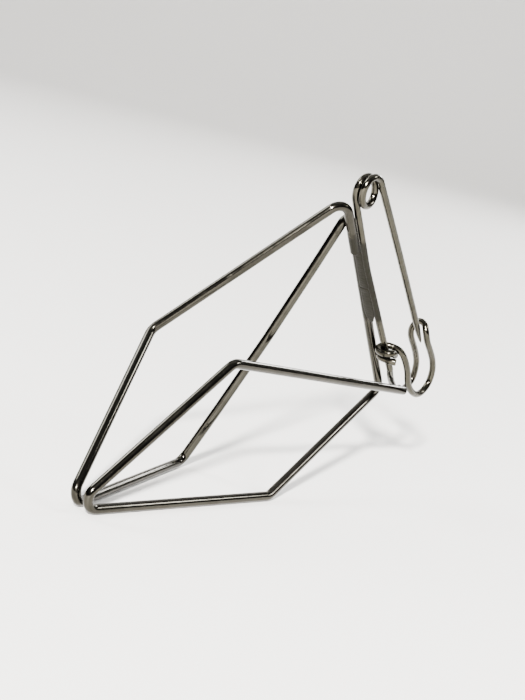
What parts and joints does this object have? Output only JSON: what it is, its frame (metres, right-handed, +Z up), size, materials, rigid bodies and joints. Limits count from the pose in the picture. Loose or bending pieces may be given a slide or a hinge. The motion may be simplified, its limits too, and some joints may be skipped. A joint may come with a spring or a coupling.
{
  "type": "photo album stand",
  "caption": "Free-standing bent wire stand: two kite-shaped wire loops share a sloping spine that carries a large safety pin with coil, arm and clasp.",
  "frame": {"origin": "middle of the footprint on the table plane", "axes": "+Z up; +X from the low apex of the loops towards the pin; -Y towards the loop with the rail (the near loop)"},
  "size_m": [0.1278, 0.0319, 0.0887],
  "materials": {
    "frame_steel": "polished nickel plate over bent round steel wire",
    "pin_steel": "satin to polished nickel plate, slightly warmer than the frame wire",
    "weld_steel": "dull brushed weld between the spine and the pin's back wire"
  },
  "bodies": {
    "stand": {"far_loop_wire": "frame_steel", "near_loop_wire": "frame_steel", "pin_back_wire": "pin_steel", "spring_coil": "pin_steel", "clasp_hook": "pin_steel", "clasp_wrap": "pin_steel", "spine_weld_upper": "weld_steel", "spine_weld_lower": "weld_steel", "rail_weld": "weld_steel"},
    "pin_arm_body": {"pin_arm": "pin_steel"}
  },
  "joints": [
    {"name": "arm_release", "type": "hinge", "parent": "stand", "child": "pin_arm_body", "pos_m": [0.00773, -0.01499, 0.08598], "axis": [-0.7885, 0.3858, 0.479], "range_deg": [0, 110], "stiffness_Nm_per_rad": 0.02, "springref_deg": -28.65}
  ]
}
